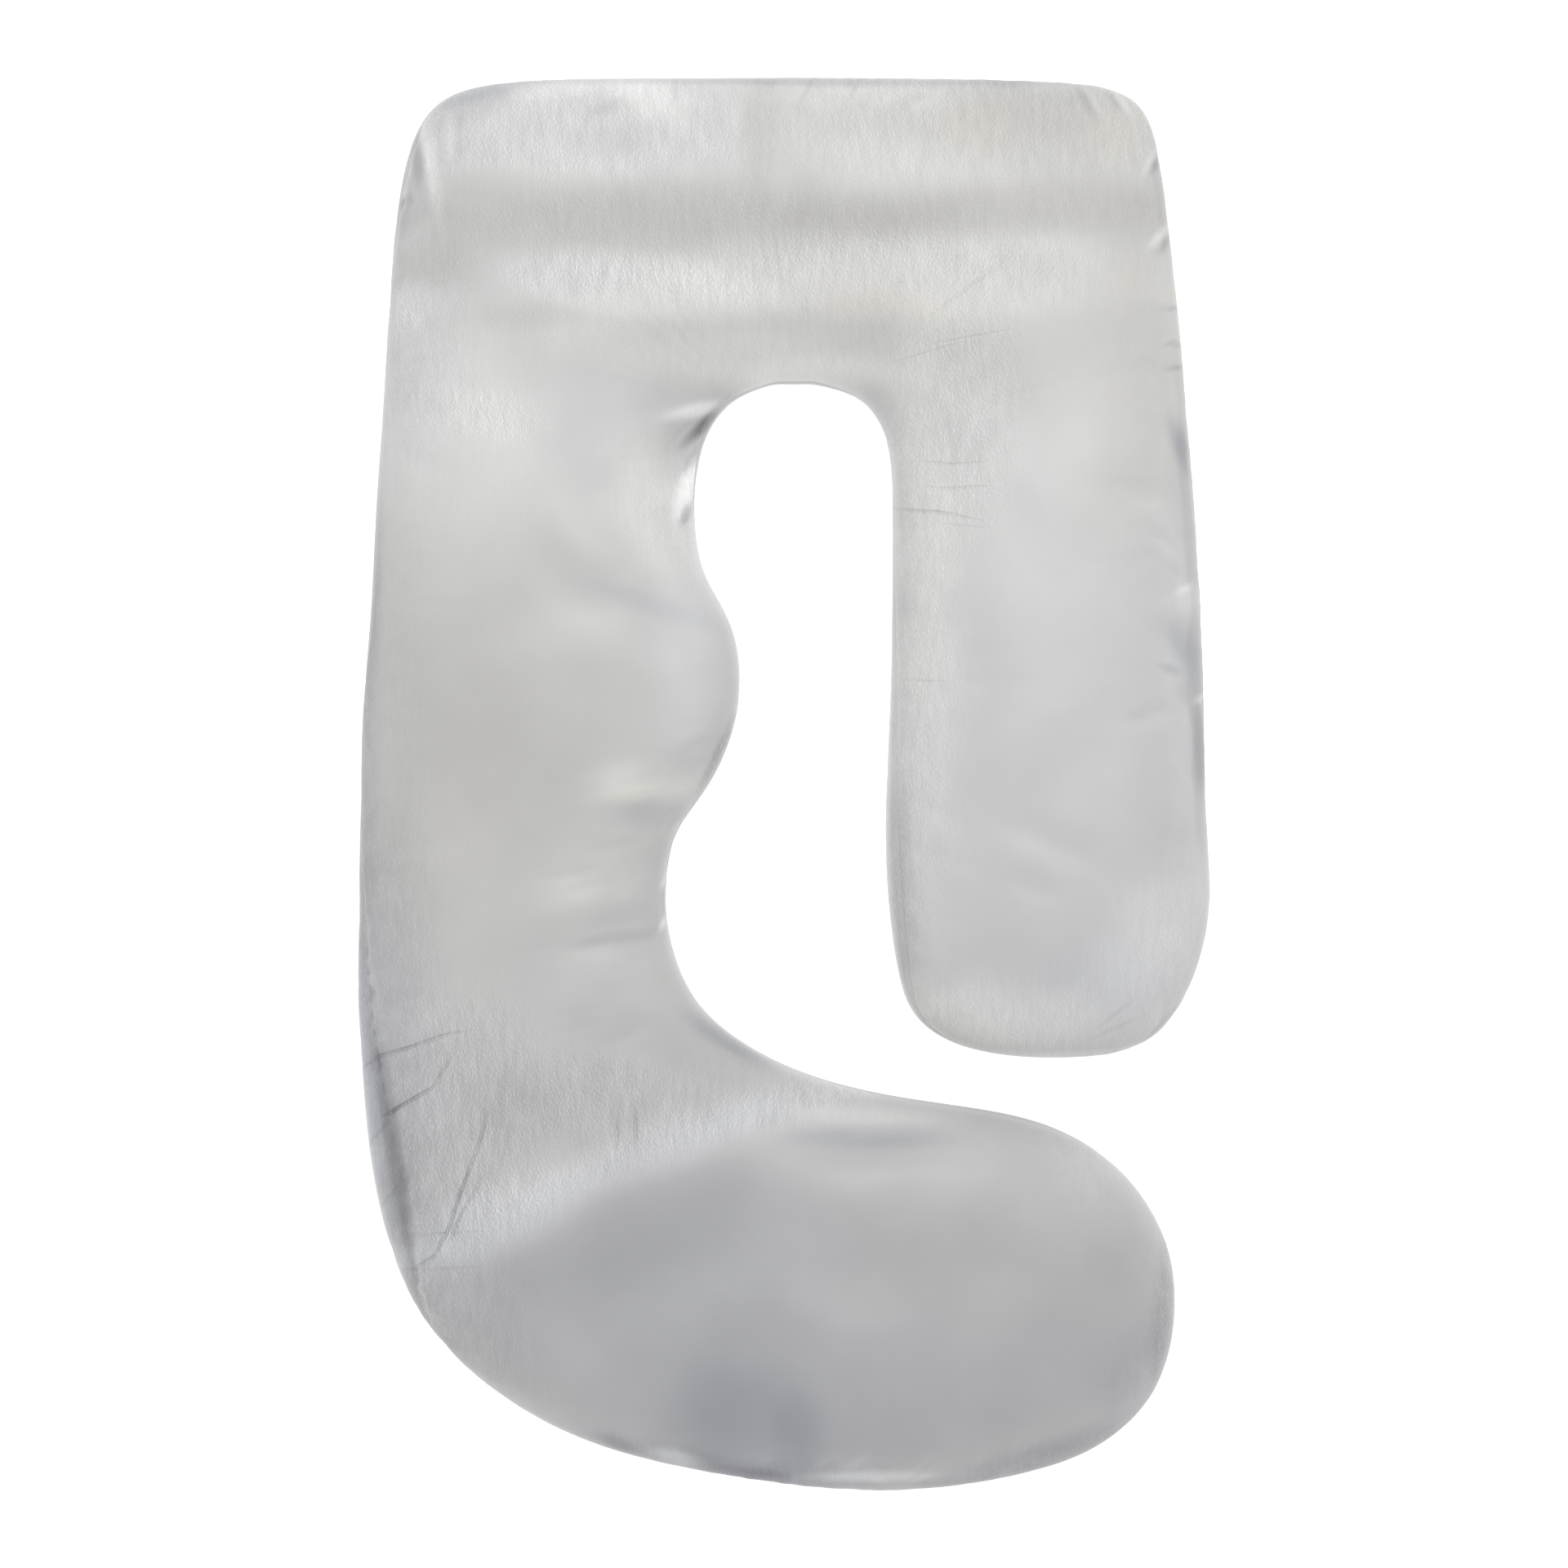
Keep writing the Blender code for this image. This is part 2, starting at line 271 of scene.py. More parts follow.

# Where the pile lies another way, and where light and shade are painted on it: a soft patch by its
# middle, heading, length and width. Its tone is 1 for the lightest pile and -1 for the darkest; in many
# rows it is painted shade or a painted highlight, beside the folds, along the rims, in the head bar's
# bands, at the straight arm's end and over the foot roll, and not the pile's own tone. strokes is how
# strongly its brushing shows, cool is 1 for a bluish and -1 for a warm cast, the bluish cast on the
# dark rows going with their painted shade, and crisp is higher for a sharper edge.
napColumns = "x, y, heading, length, width, tone, strokes, cool, crisp"
napAndPaintedLightPatches = [
    # The head bar and its corners.
    (-185, 602, 1, 380, 118, 0.70, 1.2, 0.1, 2.5),
    (-262, 545, 6, 90, 30, -0.15, 0.0, -0.2, 2.0),
    (-182, 542, -4, 70, 26, -0.15, 0.0, -0.2, 2.0),
    (-70, 546, 4, 90, 24, -0.05, 0.2, -0.2, 2.0),
    (10, 646, 0, 640, 14, -0.75, 0.5, 0.8, 2.0),
    (170, 618, 0, 260, 90, -0.45, 0.9, -0.2, 1.5),
    (-282, 633, 14, 110, 22, -0.80, 0.6, 1.0, 1.5),
    (-205, 634, 6, 70, 20, 0.60, 1.2, 0.0, 2.0),
    (-150, 585, 10, 90, 34, -0.30, 0.9, 0.0, 2.0),
    (105, 600, 0, 200, 124, 0.55, 1.0, -0.4, 2.2),
    (235, 590, 0, 200, 110, 0.00, 0.8, -0.9, 2.0),
    (320, 600, 90, 110, 80, 0.50, 0.8, -0.5, 1.5),
    (-100, 512, 0, 460, 74, -0.45, 0.5, -0.4, 2.5),
    (200, 520, 3, 420, 52, -0.38, 0.5, -0.9, 2.5),
    (-340, 450, 90, 120, 60, 0.30, 0.6, 0.0, 1.5),
    (130, 461, 1, 500, 80, 0.42, 1.3, -0.5, 3.0),
    (-132, 452, -6, 250, 60, 0.60, 1.5, 0.2, 3.5),
    (-232, 424, 0, 90, 26, -0.40, 0.3, -0.4, 1.5),
    (-30, 388, 0, 200, 50, 0.75, 0.6, -0.4, 1.5),
    (-120, 416, 0, 330, 60, 0.00, 0.4, -0.5, 1.5),
    (30, 374, 0, 160, 34, 0.90, 0.6, -0.2, 1.5),
    (-56, 322, 52, 120, 40, 0.70, 0.6, 0.0, 1.5),
    (130, 410, -20, 260, 80, -0.20, 0.5, -0.8, 1.5),
    (320, 400, 80, 260, 110, 0.00, 0.2, -0.8, 1.5),
    # The long arm.
    (-290, 305, 80, 260, 170, 0.85, 0.2, 0.0, 1.5),
    (-335, 400, 85, 220, 90, 0.00, 0.7, 0.2, 1.5),
    (-272, 336, -14, 100, 44, 0.20, 1.3, 0.0, 1.5),
    (-342, 434, 80, 60, 30, 0.40, 1.2, 0.3, 2.0),
    (-105, 238, -60, 170, 90, 1.30, 0.7, 0.0, 1.5),
    (-190, 170, 10, 120, 90, 0.30, 0.0, 0.0, 1.5),
    (-75, 95, 90, 220, 80, 0.65, 0.0, 0.2, 1.5),
    (-250, 60, 90, 320, 200, -0.35, 0.0, -0.9, 1.5),
    (-295, -60, 90, 240, 90, 0.00, 0.1, -0.6, 1.5),
    (-350, 40, 90, 420, 50, -0.10, 0.3, -0.2, 1.5),
    (-110, -20, 10, 120, 60, 0.50, 0.1, -0.3, 1.5),
    (-170, -85, 5, 120, 60, 0.40, 0.0, 0.0, 1.5),
    # The straight arm.
    (255, 170, 90, 560, 260, 0.42, 0.05, 0.0, 1.5),
    (255, -40, 90, 460, 240, 0.00, 0.05, 0.3, 1.5),
    (125, 120, 90, 560, 70, 0.95, 0.8, 0.0, 1.5),
    (155, 325, 82, 240, 120, 0.10, 0.9, 0.0, 2.5),
    (300, -190, 0, 200, 120, 0.00, 0.2, 0.6, 1.5),
    (198, -222, -5, 210, 80, 1.35, 0.9, -0.2, 1.5),
    (335, -150, 60, 160, 90, 0.80, 0.6, 0.0, 1.5),
    (106, -110, 88, 220, 26, -0.50, 0.8, 0.3, 1.5),
    # The bend.
    (-384, -260, 92, 300, 22, -0.10, 0.6, 0.8, 1.5),
    (-342, -290, 100, 400, 120, 0.10, 0.8, 0.6, 2.5),
    (-387, 40, 90, 460, 30, -0.80, 0.6, 0.2, 1.5),
    (-384, 190, 88, 190, 30, -1.10, 0.7, 0.3, 1.5),
    (-360, -160, 92, 260, 80, -0.40, 0.6, 0.2, 1.5),
    (-296, -318, 75, 256, 150, -0.35, 1.15, 0.0, 2.5),
    (-165, -285, 6, 260, 90, -0.60, 1.0, 0.2, 1.5),
    (-130, -226, -20, 130, 50, -0.30, 0.0, 0.4, 1.5),
    (-50, -235, -30, 84, 20, -1.10, 0.3, 1.4, 1.5),
    (-265, -400, 24, 190, 62, 0.90, 1.9, 0.7, 1.8),
    (-110, -330, 22, 220, 48, 0.45, 1.7, 0.5, 1.8),
    (10, -292, 14, 200, 40, 0.40, 1.6, 0.5, 1.5),
    # The foot roll.
    (-125, -400, 22, 300, 110, -0.80, 0.0, 0.5, 1.5),
    (-285, -490, -50, 200, 130, -0.38, 1.0, 0.2, 1.5),
    (60, -520, 5, 620, 260, -0.85, 0.0, 1.0, 1.5),
    (-100, -430, 15, 320, 150, -0.05, 0.0, 0.5, 1.5),
    (190, -430, 0, 260, 150, -0.10, 0.0, -0.4, 1.5),
    (120, -385, -8, 380, 100, -0.25, 0.0, 0.0, 1.5),
    (-36, -588, -40, 160, 120, -0.70, 0.0, 1.3, 1.8),
    (0, -636, 2, 160, 34, -0.60, 0.5, 0.5, 1.5),
    (-90, -622, -14, 220, 30, -0.90, 0.5, 0.5, 1.5),
    (-98, -617, -16, 46, 16, 1.80, 0.3, 0.0, 1.5),
    (-152, -604, -24, 40, 14, -0.80, 0.3, 0.8, 1.5),
    (220, -625, 18, 240, 38, -1.20, 0.5, 0.5, 1.5),
    (335, -545, 60, 110, 90, -0.50, 0.3, 0.5, 1.5),
    (300, -380, -45, 180, 60, 0.20, 0.5, 0.0, 1.5),
    (352, -450, 84, 210, 22, -0.80, 0.8, 0.0, 1.5),
    (-369, -338, 99, 230, 16, 0.10, 0.5, 1.0, 2.0),
    (-357, -330, 99, 250, 17, -0.70, 0.5, 0.6, 4.0),
    (320, -395, 60, 130, 80, -0.30, 0.1, 0.0, 1.5),
    (72, -634, 2, 120, 12, 1.40, 0.4, 0.0, 1.5),
    (14, -588, 88, 90, 50, -0.30, 0.1, 0.6, 2.0),
    (70, -470, 0, 120, 60, 0.35, 0.0, -0.4, 1.5),
    (190, -470, 30, 90, 60, 0.25, 0.0, -0.4, 1.5),
    # Painted highlights and painted shade in the folds beside the arch, the waist and the edges.
    (-80, 341, 15, 56, 12, 2.00, 0.5, 0.3, 1.5),
    (-71, 331, 44, 58, 12, -3.00, 0.5, 0.8, 1.5),
    (-88, 272, 72, 66, 18, 3.00, 1.4, 0.3, 1.5),
    (-84, 297, 60, 40, 9, -1.60, 0.5, 0.4, 1.5),
    (-90, 246, 68, 24, 9, -2.20, 0.6, 0.3, 1.5),
    (-114, 162, -18, 150, 20, -0.30, 0.0, 0.8, 1.5),
    (-130, -8, 9, 96, 18, 0.70, 0.0, -0.7, 1.5),
    (-112, -28, 6, 90, 24, -0.40, 0.0, 1.0, 1.5),
    (-60, 22, 64, 120, 13, -1.30, 1.0, 0.2, 2.0),
    (-108, -88, 60, 18, 6, 1.60, 0.3, 0.0, 1.5),
    (-110, -128, 60, 18, 6, 1.60, 0.3, 0.0, 1.5),
    (-109, -107, 92, 30, 6, -1.20, 0.3, 0.3, 1.5),
    (-150, -140, 10, 90, 12, -0.60, 0.0, 0.5, 1.5),
    (80, -323, -1, 140, 20, -0.80, 0.0, 1.4, 1.5),
    (80, -303, -2, 150, 16, 0.70, 0.3, 0.0, 1.5),
    (-322, 562, 100, 90, 12, 1.20, 0.9, 0.0, 1.5),
    (-336, 573, 98, 52, 12, -0.90, 0.4, 0.6, 1.5),
    (-306, 592, 95, 52, 8, 0.80, 0.6, 0.0, 1.5),
    (-296, 590, 92, 40, 7, -0.50, 0.6, 0.0, 1.5),
    (-354, 532, 40, 16, 8, -1.40, 0.2, 0.8, 1.5),
    (-350, 541, 60, 18, 8, 0.80, 0.2, 0.0, 1.5),
    (277, 620, -62, 42, 8, -0.60, 0.5, 0.4, 1.5),
    (284, 622, -62, 36, 7, 0.60, 0.6, 0.0, 1.5),
    (303, 622, -58, 28, 7, -0.60, 0.5, 0.4, 1.5),
    (310, 622, -55, 28, 7, 0.80, 0.6, 0.0, 1.5),
    (344, 573, 62, 30, 8, -1.60, 0.3, 0.3, 1.5),
    (336, 569, 60, 28, 8, 0.90, 0.5, 0.0, 1.5),
    (343, 500, 48, 34, 8, 1.10, 0.4, 0.0, 1.5),
    (351, 496, 54, 30, 8, -1.00, 0.3, 0.4, 1.5),
    (356, 435, 6, 22, 5, -1.00, 0.3, 0.3, 1.5),
    (359, 402, 4, 22, 5, -0.90, 0.3, 0.3, 1.5),
    (361, 381, 8, 24, 5, -1.00, 0.3, 0.3, 1.5),
    (-126, 626, -22, 84, 38, 0.80, 1.2, 0.0, 1.5),
    (-162, 616, 24, 40, 14, -0.70, 0.6, 0.0, 1.5),
    (-22, 600, 88, 130, 34, -0.50, 0.6, -0.3, 1.5),
    (-280, 622, 30, 80, 34, -0.50, 0.7, 0.4, 1.5),
    (-330, 470, 4, 110, 46, -0.50, 0.5, -0.4, 1.5),
    (366, 306, -68, 60, 18, -1.00, 0.2, 1.3, 1.5),
    (368, 166, 15, 50, 30, 0.50, 0.2, 0.0, 1.5),
    (366, 177, 24, 18, 6, 1.00, 0.2, 0.0, 1.5),
    (370, 116, -52, 76, 34, -0.50, 0.1, 1.4, 1.5),
    (352, 104, -20, 22, 8, -0.80, 0.1, 0.8, 1.5),
    (384, 78, 20, 18, 8, 1.40, 0.2, 0.0, 1.5),
    (383, 30, 94, 90, 18, -1.10, 0.2, 1.2, 1.5),
]


def smoothSlopes(points):
    # Slopes of a closed cubic curve through the points: four times each slope plus its two
    # neighbours' is three times the step from the point before to the point after.
    ahead, behind = np.roll(points, -1, axis=0), np.roll(points, 1, axis=0)
    one = np.eye(len(points))
    return np.linalg.solve(4 * one + np.roll(one, 1, 0) + np.roll(one, -1, 0), 3 * (ahead - behind))


def alongCurve(points, slopes, places):
    # The closed curve at places counted in points along it, by the usual cubic blend of the two
    # nearest points and their slopes.
    start = np.floor(places).astype(int)
    t = (places - start)[:, None]
    here, there = start % len(points), (start + 1) % len(points)
    return (
        (2 * t**3 - 3 * t**2 + 1) * points[here]
        + (t**3 - 2 * t**2 + t) * slopes[here]
        + (3 * t**2 - 2 * t**3) * points[there]
        + (t**3 - t**2) * slopes[there]
    )


def seamCurve():
    # Up the inner ends of the sections and back down the outer ones. The filling changes sign on
    # the outer side, so that it passes smoothly through nothing at both tips.
    s = sections
    inner = np.stack([s.innerX, s.innerY, s.filling, s.innerRoll], axis=1).astype(float)
    outer = np.stack([s.outerX, s.outerY, -s.filling, s.outerRoll], axis=1).astype(float)
    points = np.concatenate([inner, outer[-2:0:-1]])
    return points, smoothSlopes(points)


def ringPlaces(points, slopes, count):
    # Places of the rings, evenly spaced along whichever side of the pillow is longer there.
    last = len(sections) - 1
    fine = np.linspace(0, last, 60 * last + 1)
    sides = [alongCurve(points, slopes, places)[:, :2] for places in (fine, -fine)]
    steps = [np.linalg.norm(np.diff(side, axis=0), axis=1) for side in sides]
    travelled = np.concatenate([[0], np.cumsum(np.maximum(*steps))])
    return np.interp(np.linspace(0, travelled[-1], count + 2)[1:-1], travelled, fine)


def crowdedShares(count, finest=0.22, reach=0.13):
    # Shares from 0 up to 1, left out, whose steps shrink smoothly to finest near both ends.
    fine = np.linspace(0, 1, 4001)
    near = np.clip(np.minimum(fine, 1 - fine) / reach, 0, 1)
    step = finest + (1 - finest) * near**2 * (3 - 2 * near)
    travelled = np.concatenate([[0], np.cumsum((1 / step[1:] + 1 / step[:-1]) / 2)])
    return np.interp(np.linspace(0, travelled[-1], count, endpoint=False), travelled, fine)


def relief(table, x, y):
    # Sum of the folds: each is its rise times two bells, exp(-|across / half width| ^ crisp) and
    # exp(-|along / half length| ^ 3), on a line that may bow and a width that may flare.
    height = np.zeros_like(x)
    for fold in np.rec.fromrecords(table, names=foldColumns):
        runX, runY = (fold.toX - fold.fromX) / 2, (fold.toY - fold.fromY) / 2
        reach = math.hypot(runX, runY)
        offX, offY = x - fold.fromX - runX, y - fold.fromY - runY
        along = (offX * runX + offY * runY) / reach**2
        across = (offY * runX - offX * runY) / reach + fold.bow * (along**2 - 1)
        halfWidth = fold.width / 2 * np.exp(fold.flare * np.clip(along, -2, 2))
        height += fold.rise * np.exp(-(np.abs(along) ** 3) - np.abs(across / halfWidth) ** fold.crisp)
    return height


def seamPlace(grid, faceSteps):
    # For each point: the cloth's length to the nearer seam round its ring, how far along that seam
    # it is, and whether that is the outer seam. The seams are the first column and column faceSteps.
    step = np.linalg.norm(np.roll(grid, -1, axis=1) - grid, axis=2)
    before = np.cumsum(step, axis=1) - step
    whole, half = before[:, -1:] + step[:, -1:], before[:, faceSteps : faceSteps + 1]
    toInner, toOuter = np.minimum(before, whole - before), np.abs(before - half)
    rails = [grid[:, 0], grid[:, faceSteps]]
    lengths = [np.concatenate([[0], np.cumsum(np.linalg.norm(np.diff(r, axis=0), axis=1))]) for r in rails]
    outer = toOuter < toInner
    return np.where(outer, toOuter, toInner), np.where(outer, lengths[1][:, None], lengths[0][:, None]), outer


def gathered(sizes, x, y):
    # Share of the wrinkles that is left at each point: the calm share, plus each zone's strength
    # times a bell round its middle, and at most 1.
    share = np.full_like(x, sizes["calm"])
    for middleX, middleY, radius, strength in gatheredZones:
        share += strength * np.exp(-((x - middleX) ** 2 + (y - middleY) ** 2) / radius**2)
    return np.minimum(share, 1)


def napAndPaintedLightField(sizes, x, y, away, outer, facing):
    # The pile's tone, with the light and shade painted into it, its strokes and its cast at each point:
    # each patch's figures times a soft-edged bell. Beside each seam the colour is darkened, a painted
    # shade along the rim where the cloth turns away. Facing is 1 where the cloth lies level, face up,
    # and 0 where it is upright.
    rim = np.exp(-((away / sizes["rimReach"]) ** 2))
    # Painted shade along the rims, darker beside the outer seam than beside the inner one.
    tone = np.where(outer, sizes["outerRimPaintedShade"], sizes["innerRimPaintedShade"]) * rim
    strokes, cool = np.zeros_like(x), np.zeros_like(x)
    wanderX = sizes["wander"] * softLumps(sizes, 2 * x, 2 * y)
    wanderY = sizes["wander"] * softLumps(sizes, 2 * y, 2 * x)
    for patch in np.rec.fromrecords(napAndPaintedLightPatches, names=napColumns):
        turn = math.radians(patch.heading)
        loose = min(patch.width / 100, 1)
        offX, offY = x - patch.x + loose * wanderX, y - patch.y + loose * wanderY
        along = (offX * math.cos(turn) + offY * math.sin(turn)) * 2 / patch.length
        across = (offY * math.cos(turn) - offX * math.sin(turn)) * 2 / patch.width
        share = np.exp(-((along**2 + across**2) ** patch.crisp))
        if patch.width < sizes["streakWidth"]:
            share *= np.clip(facing / sizes["streakEdge"], 0, 1)
        # Each patch adds the pile's own tone or painted light and shade.
        tone += patch.tone * share
        strokes += (patch.strokes - strokes) * share
        cool += patch.cool * share
    return {"napToneAndPaintedLight": tone, "napStrokes": strokes, "napCool": cool}


def seamPuckers(sizes, away, along, outer, onFace):
    # Small pleats that run in from the seam. Each is a bell along the seam, widening inwards, times
    # a rise that starts at nothing on the seam, peaks a few millimetres in and dies away.
    rng = np.random.default_rng(sizes["seed"])
    height = np.zeros_like(away)
    longest = along.max()
    for _ in range(sizes["puckers"]):
        middle, onOuter, front = rng.uniform(0, longest), rng.random() < 0.6, rng.random() < 0.6
        reach, width = rng.uniform(9, 34), rng.uniform(2.6, 6.5)
        lean, rise = rng.uniform(-0.45, 0.45), rng.normal(0, sizes["puckerRise"])
        rows = np.abs(along[:, sizes["faceSteps"] if onOuter else 0] - middle) < 60
        if not rows.any():
            continue
        a, s = away[rows], along[rows] - middle - lean * away[rows]
        bell = np.exp(-((s / (width * (1 + a / reach))) ** 2))
        run = (1 - np.exp(-((a / 5) ** 2))) * np.exp(-((a / reach) ** 2))
        there = (outer[rows] == onOuter) & (onFace == front)
        height[rows] += np.where(there, rise * bell * run, 0)
    return height


def softLumps(sizes, x, y):
    # Unevenness of the fibre filling: broad bells, some up and some down, strewn over the outline.
    rng = np.random.default_rng(sizes["seed"] + 1)
    height = np.zeros_like(x)
    for _ in range(sizes["lumps"]):
        middleX, middleY = rng.uniform(-400, 400), rng.uniform(-660, 660)
        turn, long, short = rng.uniform(0, math.pi), rng.uniform(34, 90), rng.uniform(20, 45)
        rise = rng.normal(0, sizes["lumpRise"])
        a = (x - middleX) * math.cos(turn) + (y - middleY) * math.sin(turn)
        b = (y - middleY) * math.cos(turn) - (x - middleX) * math.sin(turn)
        height += rise * np.exp(-((a / long) ** 2) - (b / short) ** 2)
    return height


def cubicWeights(fine, coarse, closed):
    # A matrix that carries values at the coarse places to the fine ones by the cubic through each
    # four neighbours. Places run from 0 to 1, and past 1 it starts again where closed.
    count = len(coarse)
    ends = np.append(coarse, 1.0) if closed else coarse
    place = np.interp(fine, ends, np.arange(len(ends)))
    start = np.minimum(np.floor(place).astype(int), len(ends) - 2)
    t = place - start
    shares = [
        -t / 2 + t**2 - t**3 / 2,
        1 - 2.5 * t**2 + 1.5 * t**3,
        t / 2 + 2 * t**2 - 1.5 * t**3,
        (t**3 - t**2) / 2,
    ]
    weights = np.zeros((len(fine), count))
    for offset, share in zip((-1, 0, 1, 2), shares):
        column = (start + offset) % count if closed else np.clip(start + offset, 0, count - 1)
        np.add.at(weights, (np.arange(len(fine)), column), share)
    return weights


def settledCloth(sizes, cloth):
    # How far each point of the cover moves, along its normal, when the cloth, cut larger than its
    # seam, settles under the pressure of the filling. The seam and the underside are held.
    grid, _, _, _, _, tips = pillowForm(sizes, cloth["rings"], cloth["faceSteps"], cloth["backSteps"])
    normals = gridNormals(grid)
    ends = np.concatenate([tips, np.full((2, 1), sizes["edge"])], axis=1)
    piece = addObject("settling", gridMesh("settling", grid, ends))
    away = seamPlace(grid, cloth["faceSteps"])[0]
    held = ((away < cloth["heldBeside"]) | (grid[..., 2] < cloth["heldBelow"])).reshape(-1)
    group = piece.vertex_groups.new(name="held")
    group.add(np.flatnonzero(held).tolist() + [held.size, held.size + 1], 1.0, "REPLACE")
    modifier = piece.modifiers.new("cloth", "CLOTH")
    settings = modifier.settings
    settings.vertex_group_mass = "held"
    settings.quality = cloth["substeps"]
    settings.mass = cloth["pointMass"]
    settings.tension_stiffness = settings.compression_stiffness = cloth["stretching"]
    settings.shear_stiffness, settings.bending_stiffness = cloth["shearing"], cloth["bending"]
    settings.air_damping = cloth["airDrag"]
    settings.use_pressure = True
    settings.uniform_pressure_force = cloth["pressure"]
    settings.shrink_min = cloth["spare"]
    settings.effector_weights.gravity = 0.0
    modifier.collision_settings.use_collision = False
    modifier.point_cache.frame_start, modifier.point_cache.frame_end = 1, cloth["frames"]
    for step in range(1, cloth["frames"] + 1):
        bpy.context.scene.frame_set(step)
    settled = piece.evaluated_get(bpy.context.evaluated_depsgraph_get()).to_mesh()
    moved = np.empty(len(settled.vertices) * 3)
    settled.vertices.foreach_get("co", moved)
    moved = moved.reshape(-1, 3)[: grid.shape[0] * grid.shape[1]].reshape(grid.shape) / mm - grid
    bpy.context.scene.frame_set(1)
    bpy.data.meshes.remove(piece.data)
    out = (moved * normals).sum(axis=2)
    print("cloth moved: mean %.2f, low %.2f, high %.2f mm" % (out.mean(), out.min(), out.max()))
    return cloth["most"] * np.tanh(out / cloth["most"])


def pillowForm(sizes, rings, faceSteps, backSteps):
    # The filled shape before folds, as a grid (ring, step, x y z). A section is a flattened oval on
    # the chord between the rails: x y go by the cosine of the angle, and z by a power of its sine,
    # up to the crown above the edge and down to the floor below it, which presses it flat.
    points, slopes = seamCurve()
    places = ringPlaces(points, slopes, rings)
    inner, outer = alongCurve(points, slopes, places), alongCurve(points, slopes, -places)
    filling = inner[:, 2:3]
    start, turn = np.radians(inner[:, 3:4]), math.pi - np.radians(outer[:, 3:4])
    face = start + (turn - start) * crowdedShares(faceSteps)
    back = turn + (2 * math.pi + start - turn) * crowdedShares(backSteps)
    angles = np.concatenate([face, back], axis=1)
    middle, reach = (inner[:, :2] + outer[:, :2]) / 2, (inner[:, :2] - outer[:, :2]) / 2
    x = middle[:, 0:1] + reach[:, 0:1] * np.cos(angles)
    y = middle[:, 1:2] + reach[:, 1:2] * np.cos(angles)
    height = np.abs(np.sin(angles))
    above = (sizes["crown"] - sizes["edge"]) * filling * height ** sizes["topRound"]
    below = -(sizes["edge"] + sizes["sink"]) * filling * height ** sizes["underRound"]
    z = sizes["edge"] + np.where(np.sin(angles) > 0, above, below)
    bend = sizes["floorBend"]
    z = np.where(z > bend, z, (np.clip(z, -bend, bend) + bend) ** 2 / (4 * bend))
    grid = np.stack([x, y, z], axis=2)
    onFace = np.arange(faceSteps + backSteps) < faceSteps
    turned = np.clip(outer[:, 3:4], 0, None)
    return grid, filling, height, onFace, turned, points[[0, len(sections) - 1], :2]


def gridNormals(grid):
    # Outward normals: the cross product of the step round each ring and the step along the pillow.
    around = np.roll(grid, -1, axis=1) - np.roll(grid, 1, axis=1)
    along = np.gradient(grid, axis=0)
    normal = np.cross(around, along)
    return normal / np.maximum(np.linalg.norm(normal, axis=2, keepdims=True), 1e-9)


def gridMesh(name, grid, ends):
    # A closed skin over the rings, drawn together at a point at each end.
    count, steps = grid.shape[:2]
    vertices = np.concatenate([grid.reshape(-1, 3), ends])
    index = np.arange(count * steps).reshape(count, steps)
    beside = np.roll(index, -1, axis=1)
    quads = np.stack([index[:-1], beside[:-1], beside[1:], index[1:]], axis=2).reshape(-1, 4)
    start, end = np.full(steps, len(vertices) - 2), np.full(steps, len(vertices) - 1)
    caps = [np.stack([start, beside[0], index[0]], 1), np.stack([end, index[-1], beside[-1]], 1)]
    mesh = bpy.data.meshes.new(name)
    mesh.from_pydata(vertices * mm, [], quads.tolist() + caps[0].tolist() + caps[1].tolist())
    mesh.shade_smooth()
    mesh.update()
    return mesh


def settledLift(sizes, cloth):
    # The settled cloth's movement on the fine grid of the finished cover.
    coarse = settledCloth(sizes, cloth)
    ringShares = [np.arange(1, count + 1) / (count + 1) for count in (sizes["rings"], cloth["rings"])]
    stepShares = [
        np.concatenate([crowdedShares(form["faceSteps"]) / 2, 0.5 + crowdedShares(form["backSteps"]) / 2])
        for form in (sizes, cloth)
    ]
    return cubicWeights(*ringShares, False) @ coarse @ cubicWeights(*stepShares, True).T


def addObject(name, data):
    # A new object in the scene, at the origin, unturned and unscaled.
    piece = bpy.data.objects.new(name, data)
    bpy.context.scene.collection.objects.link(piece)
    return piece


